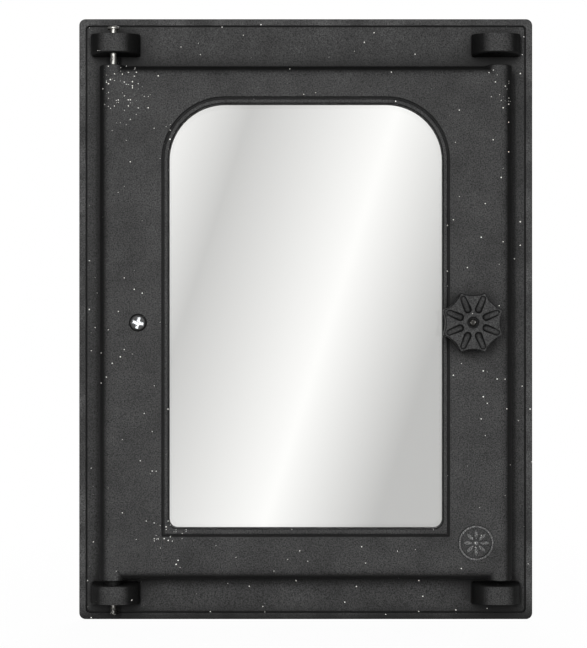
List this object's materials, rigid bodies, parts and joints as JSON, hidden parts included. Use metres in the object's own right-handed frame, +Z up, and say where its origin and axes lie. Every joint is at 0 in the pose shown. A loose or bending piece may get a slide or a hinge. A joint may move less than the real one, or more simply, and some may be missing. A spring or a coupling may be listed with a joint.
{
  "type": "glazed stove door in its wall frame",
  "caption": "Cast-iron stove door with an arched window, hung on pins in a flanged wall frame and held shut by a petalled turn knob.",
  "frame": {"origin": "centre of the frame flange's wall face", "axes": "+X to the viewer's right, +Y into the wall, +Z up; the door looks toward -Y"},
  "size_m": [0.302, 0.0851, 0.4],
  "materials": {
    "painted_iron": "matt black heat-proof paint on a sand casting",
    "painted_steel": "matt black paint",
    "bright_steel": "plain turned steel",
    "zinc_steel": "zinc plated",
    "mild_steel": "plain cut plate",
    "stove_glass": "clear heat-proof glass",
    "gasket_tape": "woven glass-fibre tape",
    "seal_rope": "knitted glass-fibre rope"
  },
  "bodies": {
    "frame": {"outer_frame": "painted_iron", "hinge_pin_top": "bright_steel", "hinge_washers": "painted_steel"},
    "leaf": {"door_leaf": "painted_iron", "hinge_pin_bottom": "bright_steel", "glass_pane": "stove_glass", "glass_gasket": "gasket_tape", "glass_clip_upper_left": "zinc_steel", "glass_clip_upper_right": "zinc_steel", "glass_clip_lower_left": "zinc_steel", "glass_clip_lower_right": "zinc_steel", "clip_screws": "zinc_steel", "door_seal": "seal_rope", "plug_screw": "painted_steel", "plug_washer": "zinc_steel", "plug_nut": "zinc_steel"},
    "latch": {"knob": "painted_iron", "knob_washer": "painted_steel", "latch_spindle": "bright_steel", "spring_washer": "zinc_steel", "spacer_sleeve": "zinc_steel", "latch_tongue": "mild_steel", "tongue_washer": "zinc_steel", "latch_nuts": "zinc_steel"}
  },
  "joints": [
    {"name": "leaf_hinge", "type": "hinge", "parent": "frame", "child": "leaf", "pos_m": [-0.1265, -0.0175, 0], "axis": [0, 0, -1], "range_deg": [0, 170]},
    {"name": "latch_turn", "type": "hinge", "parent": "leaf", "child": "latch", "pos_m": [0.107, 0, -0.0025], "axis": [0, -1, 0], "range_deg": [0, 90]}
  ]
}
